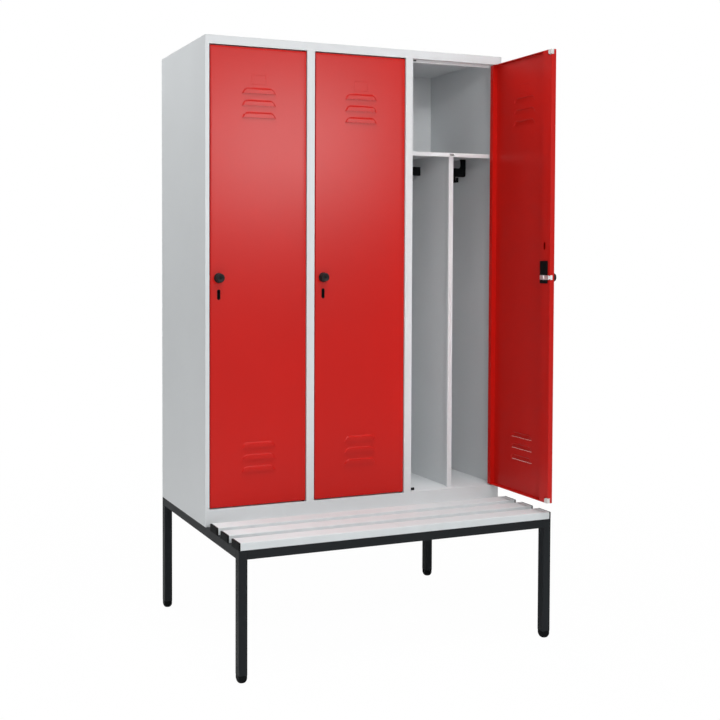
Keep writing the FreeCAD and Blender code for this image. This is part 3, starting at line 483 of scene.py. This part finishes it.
SHEET_VERTS, SHEET_FACES = door_sheet()
for k in (1, 2, 3):
    panel = make("door_sheet_%d" % k, SHEET_VERTS, SHEET_FACES, MATS["door_paint"], door_place(k))
    m = panel.modifiers.new("gauge", "SOLIDIFY")
    m.thickness = 1.0 * MM
    m.offset = -1
    m.use_even_offset = True
    m.use_rim = True
    settle(panel)
    stand_for(panel, "door_panel_%d" % k, "door_%d" % k)

    # soft corner buffers, rounded towards the middle of the door
    verts, faces = [], []
    for way, z0 in ((-1, DHIGH), (1, DLOW)):
        arc = [(FREE + 18 - 8 + 8 * math.sin(t), 18 - 8 + 8 * math.cos(t)) for t in steps(0, math.pi / 2, 8)]
        loop = [(FREE, 0), (FREE, 18)] + arc + [(FREE + 18, 0)]
        base = len(verts)
        verts += [(x, 3.0, z0 + way * z) for x, z in loop] + [(x, 14.3, z0 + way * z) for x, z in loop]
        n = len(loop)
        quads = [[base + i, base + (i + 1) % n, base + n + (i + 1) % n, base + n + i] for i in range(n)]
        quads += [[base + i for i in reversed(range(n))], [base + n + i for i in range(n)]]
        faces += quads if way < 0 else [q[::-1] for q in quads]
    buffers = make("buffer_blocks_%d" % k, verts, faces, MATS["white_plastic"], door_place(k))
    fix_normals(buffers)
    soft_edges(buffers, 0.9, 3)
    stand_for(buffers, "corner_buffers_%d" % k, "door_%d" % k)


# ---------------------------------------------------------------- turning knobs
def knob_mesh():
    seg, flutes = 192, 24
    profile = [
        (5.0, 17.3, 0), (5.0, -7.3, 0), (16.7, -7.3, 0), (17.3, -7.5, 0), (17.5, -8.0, 0), (17.5, -9.6, 0),
        (17.3, -10.1, 0), (16.8, -10.4, 0), (16.3, -10.5, 0), (16.1, -10.9, 0), (16.05, -11.6, 0.3), (16.0, -12.8, 1),
        (15.7, -18.5, 1), (15.45, -24.5, 1), (15.35, -26.3, 0.4), (15.15, -27.5, 0), (14.75, -28.3, 0), (14.1, -28.8, 0),
        (13.4, -29.0, 0), (12.2, -29.0, 0), (11.7, -28.85, 0), (11.3, -28.4, 0), (11.0, -27.8, 0), (10.6, -27.5, 0),
        (7.6, -27.3, 0), (7.1, -27.1, 0), (6.8, -26.6, 0), (6.7, -25.8, 0), (6.6, -23.6, 0), (6.3, -23.3, 0), (5.4, -23.3, 0),
    ]
    verts, faces = [], []
    for r, y, cut in profile:
        for i in range(seg):
            t = 2 * math.pi * i / seg
            dip = 0.55 * cut * max(0.0, math.cos(flutes * t)) ** 1.5
            verts.append((LOCK_X + (r - dip) * math.cos(t), y, LOCK_Z + (r - dip) * math.sin(t)))
    for n in range(len(profile) - 1):
        for i in range(seg):
            j = (i + 1) % seg
            faces.append([n * seg + i, n * seg + j, (n + 1) * seg + j, (n + 1) * seg + i])
    faces.append(list(range(seg)))
    # the barrel's face, with a key slot
    slot = stadium(LOCK_X, LOCK_Z, 1.2, 2.4, 8)
    last = (len(profile) - 1) * seg
    rim = {(verts[last + i][0], verts[last + i][2]): last + i for i in range(seg)}
    base = len(verts)
    index = {p: base + i for i, p in enumerate(slot)}
    verts += [(x, -23.3, z) for x, z in slot] + [(x, -20.4, z) for x, z in slot]
    for f in between(list(rim), slot):
        faces.append([rim[p] if p in rim else index[p] for p in f])
    n = len(slot)
    for i in range(n):
        j = (i + 1) % n
        faces.append([base + i, base + j, base + n + j, base + n + i])
    faces.append([base + n + i for i in range(n)])
    return verts, faces


KNOB_VERTS, KNOB_FACES = knob_mesh()
for k in (1, 2, 3):
    knob = make("turn_knob_%d" % k, KNOB_VERTS, KNOB_FACES, MATS["knob_plastic"], door_place(k))
    fix_normals(knob)
    m = knob.modifiers.new("shade", "WEIGHTED_NORMAL")
    m.keep_sharp = False
    m.weight = 60
    stand_for(knob, "knob_%d" % k, "latch_%d" % k)

# ---------------------------------------------------------------- lock bodies
def soft_rect(cx, cz, hx, hz, r, n=5):
    pts = []
    for sx, sz, t0 in ((1, 1, 0), (-1, 1, 90), (-1, -1, 180), (1, -1, 270)):
        for i in range(n + 1):
            t = math.radians(t0 + 90 * i / n)
            pts.append((cx + sx * (hx - r) + r * math.cos(t), cz + sz * (hz - r) + r * math.sin(t)))
    return pts


def loft(loops, cap_first=True, cap_last=True):
    """Skins a row of loops that have the same number of points."""
    verts = [p for loop in loops for p in loop]
    n = len(loops[0])
    faces = []
    for k in range(len(loops) - 1):
        for i in range(n):
            j = (i + 1) % n
            faces.append([k * n + i, k * n + j, (k + 1) * n + j, (k + 1) * n + i])
    if cap_first:
        faces.append(list(reversed(range(n))))
    if cap_last:
        faces.append([(len(loops) - 1) * n + i for i in range(n)])
    return verts, faces


def join(parts):
    verts, faces = [], []
    for v, f in parts:
        base = len(verts)
        verts += v
        faces += [[base + i for i in q] for q in f]
    return verts, faces


def lock_mesh():
    """The flat lock case with its two fixing screws, and the bush that lines the slit."""
    mid_z = LOCK_Z + 19
    case = loft([[(x, y, z) for x, z in soft_rect(LOCK_X, mid_z, 20 - g, 40 - g, 3 - g * 0.5)]
                 for y, g in ((BACK, 0), (15.9, 0), (16.5, 0.15), (16.85, 0.5), (17.0, 1.0), (17.0, 3.0), (16.7, 3.4))])
    parts = [case]
    for z in (LOCK_Z + 52, LOCK_Z + 22):
        parts.append(loft([[(x, y, z1) for x, z1 in circle(LOCK_X, z, r, 24)]
                           for y, r in ((16.6, 3.6), (17.2, 3.6), (17.5, 3.3), (17.6, 2.8), (17.6, 1.5), (17.0, 1.2), (16.9, 0.5))]))
    parts.append(loft([[(x, y, z) for x, z in stadium(LOCK_X, SLIT_Z, r, 12.0)]
                       for y, r in ((3.0, 5.3), (-6.9, 5.3), (-7.05, 5.5), (-7.05, 6.0), (-7.3, 6.15), (-7.6, 6.0),
                                    (-7.7, 5.6), (-7.7, 3.4), (-7.5, 3.0), (-7.0, 2.8), (1.5, 2.8), (1.7, 2.2))]))
    return join(parts)


LOCK_VERTS, LOCK_FACES = lock_mesh()
for k in (1, 2, 3):
    body = make("lock_body_%d" % k, LOCK_VERTS, LOCK_FACES, MATS["black_plastic"], door_place(k))
    fix_normals(body)
    body.data.set_sharp_from_angle(angle=math.radians(40))
    stand_for(body, "lock_case_%d" % k, "door_%d" % k)

# ---------------------------------------------------------------- domed foot caps
def foot(cx, cy):
    loops = []
    for z in (39, 25.2, 25, 24.6, 20, 16, 13, 11, 9, 7, 5, 3.4, 2.2, 1.2, 0.5, 0.12, 0):
        if z > 25:
            half, r = 12.6, 2.0
        else:
            t = max(0.0, (15 - z) / 15)
            half = 7 + 8 * (1 - t ** 2.6) ** (1 / 2.6)
            r = half * (0.2 + 0.75 * t ** 1.2)
        loops.append([tuple(own(x, y, z)) for x, y in soft_rect(cx, cy, half, half, r, 8)])
    return loft(loops)


feet = make("foot_domes", *join([foot(x, y) for x in (15, 1185) for y in (-303, 485)]), MATS["black_plastic"])
fix_normals(feet)
feet.data.set_sharp_from_angle(angle=math.radians(45))
stand_for(feet, "foot_caps", "cabinet")

# ---------------------------------------------------------------- floor, light and camera
AMBIENT = (0.22, 0.24)
GLEAM, SHEEN, TOP, SIDE, FILL, INSIDE = 50, 60, 500, 31, 57, 0.26
GLOW = (0.985, 1.0)
floor_mesh = bpy.data.meshes.new("floor")
bm = bmesh.new()
bmesh.ops.create_circle(bm, cap_ends=True, segments=96, radius=30)
bm.to_mesh(floor_mesh)
bm.free()
floor = bpy.data.objects.new("floor", floor_mesh)
scene.collection.objects.link(floor)
floor.location = (0, 0, -0.0005)
fmat, fnt, fbsdf, fat = tree("floor_white")
fnt.links.new(
    tones(fnt, noise(fnt, fat, 0.8, 3, 0.5), [(0.35, (0.90, 0.90, 0.90)), (0.65, (0.92, 0.92, 0.92))]),
    fbsdf.inputs["Base Color"],
)
fbsdf.inputs["Roughness"].default_value = 0.9
fbsdf.inputs["Specular IOR Level"].default_value = 0.1
# the floor runs out into a white glow, away from the object
away = fnt.nodes.new("ShaderNodeVectorMath")
away.operation = "LENGTH"
fnt.links.new(fat, away.inputs[0])
glow = fnt.nodes.new("ShaderNodeEmission")
glow.inputs["Color"].default_value = (1, 1, 1, 1)
glow.inputs["Strength"].default_value = 1.0
fade = fnt.nodes.new("ShaderNodeMixShader")
ramp = fnt.nodes.new("ShaderNodeMapRange")
ramp.interpolation_type = "SMOOTHSTEP"
ramp.inputs["From Min"].default_value = 0.7
ramp.inputs["From Max"].default_value = 4.0
ramp.inputs["To Min"].default_value = GLOW[0]
ramp.inputs["To Max"].default_value = GLOW[1]
fnt.links.new(away.outputs["Value"], ramp.inputs["Value"])
sight = fnt.nodes.new("ShaderNodeLightPath")
only = fnt.nodes.new("ShaderNodeMath")
only.operation = "MULTIPLY"
fnt.links.new(ramp.outputs["Result"], only.inputs[0])
fnt.links.new(sight.outputs["Is Camera Ray"], only.inputs[1])
fnt.links.new(only.outputs["Value"], fade.inputs["Fac"])
fnt.links.new(fbsdf.outputs["BSDF"], fade.inputs[1])
fnt.links.new(glow.outputs["Emission"], fade.inputs[2])
fnt.links.new(fade.outputs["Shader"], next(n for n in fnt.nodes if n.type == "OUTPUT_MATERIAL").inputs["Surface"])
clad(floor, fmat)

world = bpy.data.worlds.new("studio")
scene.world = world
world.use_nodes = True
wnt = world.node_tree
wnt.nodes.clear()
wout = wnt.nodes.new("ShaderNodeOutputWorld")
seen = wnt.nodes.new("ShaderNodeBackground")
seen.inputs["Color"].default_value = (1, 1, 1, 1)
seen.inputs["Strength"].default_value = 1.0
lit = wnt.nodes.new("ShaderNodeBackground")
lit.inputs["Color"].default_value = (1, 1, 1, 1)
# a big soft room, brighter in front and above
where = wnt.nodes.new("ShaderNodeTexCoord")
towards = wnt.nodes.new("ShaderNodeVectorMath")
towards.operation = "DOT_PRODUCT"
towards.inputs[1].default_value = Vector((0.30, -0.80, 0.52)).normalized()
wnt.links.new(where.outputs["Generated"], towards.inputs[0])
level = wnt.nodes.new("ShaderNodeMapRange")
level.inputs["From Min"].default_value = -1
level.inputs["From Max"].default_value = 1
level.inputs["To Min"].default_value = AMBIENT[0]
level.inputs["To Max"].default_value = AMBIENT[1]
wnt.links.new(towards.outputs["Value"], level.inputs["Value"])
wnt.links.new(level.outputs["Result"], lit.inputs["Strength"])
path = wnt.nodes.new("ShaderNodeLightPath")
wmix = wnt.nodes.new("ShaderNodeMixShader")
wnt.links.new(path.outputs["Is Camera Ray"], wmix.inputs["Fac"])
wnt.links.new(lit.outputs["Background"], wmix.inputs[1])
wnt.links.new(seen.outputs["Background"], wmix.inputs[2])
wnt.links.new(wmix.outputs["Shader"], wout.inputs["Surface"])


def softbox(name, place, aim, wide, tall, power, colour=(1, 1, 1)):
    data = bpy.data.lights.new(name, "AREA")
    data.shape = "RECTANGLE"
    data.size = wide
    data.size_y = tall
    data.energy = power
    data.color = colour
    o = bpy.data.objects.new(name, data)
    scene.collection.objects.link(o)
    o.location = place
    o.rotation_mode = "QUATERNION"
    o.rotation_quaternion = (Vector(aim) - Vector(place)).to_track_quat("-Z", "Y")
    return o


# two lamps seen only in the gloss of the paint, and wide softboxes
gleam = softbox("gleam", own(1810, -3585, 2195), own(260, 0, 1757), 1.25, 0.7, GLEAM)
gleam.visible_diffuse = False
sheen = softbox("sheen", own(-2500, -1200, 4300), own(200, 0, 1800), 2.4, 2.4, SHEEN)
sheen.visible_diffuse = False
softbox("top", own(500, -2600, 9000), own(600, 0, 900), 4.5, 4.5, TOP)
softbox("side", own(-1500, 900, 3400), own(0, 300, 1600), 1.2, 1.2, SIDE)
softbox("fill", own(-300, -4300, 2600), own(700, 100, 1200), 2.2, 2.2, FILL)
# a narrow beam that reaches into the open compartment
inside = softbox("inside", own(-330, -3000, 2000), own(1020, 200, 1350), 0.34, 1.6, INSIDE)
inside.data.spread = math.radians(8)
inside.visible_camera = False

cam_data = bpy.data.cameras.new("camera")
cam = bpy.data.objects.new("camera", cam_data)
scene.collection.objects.link(cam)
scene.camera = cam
cam_data.sensor_fit = "HORIZONTAL"
cam_data.sensor_width = 36
cam_data.lens = 1053.77 * 36 / 720
cam_data.shift_x = (360 - 220.2) / 720
cam_data.shift_y = (290 - 360) / 720
cam_data.clip_start = 0.05
cam_data.clip_end = 200
cam.location = own(-1216.8, -3418.3, 1366.1)
cam.rotation_euler = (math.radians(90 - 1.771), 0, math.radians(-20.408))

scene.view_settings.view_transform = "Standard"
scene.view_settings.look = "None"
scene.view_settings.exposure = 0.0
scene.view_settings.gamma = 1.0
